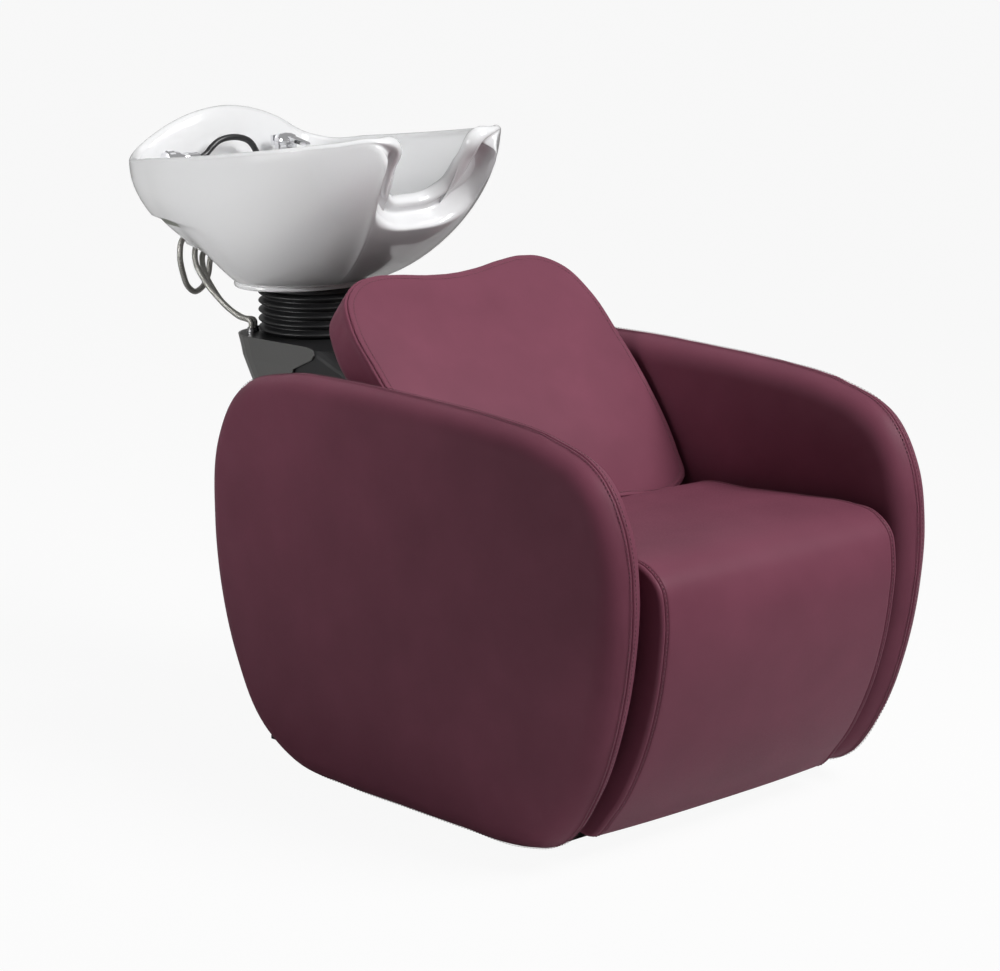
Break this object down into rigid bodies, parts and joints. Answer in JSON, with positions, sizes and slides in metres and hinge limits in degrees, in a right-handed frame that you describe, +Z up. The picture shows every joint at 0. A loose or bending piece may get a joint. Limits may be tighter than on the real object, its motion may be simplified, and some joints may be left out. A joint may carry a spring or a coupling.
{
  "type": "salon backwash unit",
  "caption": "Upholstered hair-washing chair with rounded arms, a leaning backrest and a tilting ceramic neck basin with tap and hand shower.",
  "frame": {"origin": "on the floor, at the middle of the four floor anchor holes, on the mirror plane of the chair", "axes": "+Z up, -Y the way the sitter faces, +Y towards the basin, +X to the sitter's left"},
  "size_m": [0.7, 1.3328, 1.0042],
  "materials": {
    "leather": "satin upholstery leather",
    "plywood": "sanded plywood",
    "frame_steel": "black powder coat",
    "bright_steel": "plain",
    "bronze": "sintered bronze",
    "black_plastic": "fine texture",
    "grey_plastic": "satin",
    "rubber": "matte",
    "ceramic": "gloss glaze",
    "white_plastic": "plain",
    "grey_hose": "plain",
    "chrome": "polished",
    "braid": "stainless wire braid"
  },
  "bodies": {
    "chair_frame": {"floor_plate": "frame_steel", "uprights": "frame_steel", "side_rails": "frame_steel", "cross_rails": "frame_steel", "seat_board": "plywood", "front_board": "plywood", "seat_cushion": "leather", "front_panel": "leather", "arm_left": "leather", "arm_right": "leather", "arm_brackets": "frame_steel", "arm_screws": "bright_steel", "backrest_board": "plywood", "backrest_pad": "leather", "backrest_struts": "frame_steel", "column_cheeks": "frame_steel", "column_spacers": "bright_steel", "column_head": "frame_steel", "column_cover": "black_plastic", "column_shroud": "grey_plastic", "hinge_pins": "bright_steel", "waste_hose": "grey_hose", "waste_outlet": "grey_hose", "hose_ferrules": "bright_steel", "service_plate": "frame_steel", "inlet_tails": "chrome", "inlet_pipes": "braid"},
    "basin_unit": {"basin": "ceramic", "basin_gasket": "rubber", "tilt_plate": "frame_steel", "tilt_yoke": "frame_steel", "hinge_bushes": "bronze", "friction_washers": "bright_steel", "waste_flange": "chrome", "waste_nut": "white_plastic", "waste_tail": "white_plastic", "tap_body": "chrome", "tap_nut": "chrome", "shower_cradle": "chrome", "hose_elbow": "chrome", "elbow_nut": "chrome", "hose_union": "chrome", "loop_hose": "braid", "bellows": "rubber", "waste_boot": "rubber", "hot_hose": "braid", "cold_hose": "braid", "shower_hose": "rubber"},
    "strainer_cup": {"strainer": "bright_steel"},
    "tap_turret": {"tap_cartridge": "chrome"},
    "tap_handle": {"tap_lever": "chrome"},
    "hand_shower": {"shower_head": "chrome", "shower_handle": "chrome"}
  },
  "joints": [
    {"name": "basin_tilt", "type": "hinge", "parent": "chair_frame", "child": "basin_unit", "pos_m": [0, 0.395, 0.676], "axis": [1, 0, 0], "range_deg": [-12, 8], "deforming": ["bellows", "waste_boot", "hot_hose", "cold_hose"]},
    {"name": "strainer_lift", "type": "slide", "parent": "basin_unit", "child": "strainer_cup", "axis": [0, 0, 1], "range_m": [0, 0.12]},
    {"name": "tap_turn", "type": "hinge", "parent": "basin_unit", "child": "tap_turret", "pos_m": [0.097, 0.588, 0.928], "axis": [0, 0, 1], "range_deg": [-50, 50]},
    {"name": "tap_lift", "type": "hinge", "parent": "tap_turret", "child": "tap_handle", "pos_m": [0.097, 0.608, 0.941], "axis": [-1, 0, 0], "range_deg": [0, 22]},
    {"name": "shower_lift", "type": "slide", "parent": "basin_unit", "child": "hand_shower", "axis": [0, 0, 1], "range_m": [0, 0.2], "deforming": ["shower_hose"]}
  ]
}
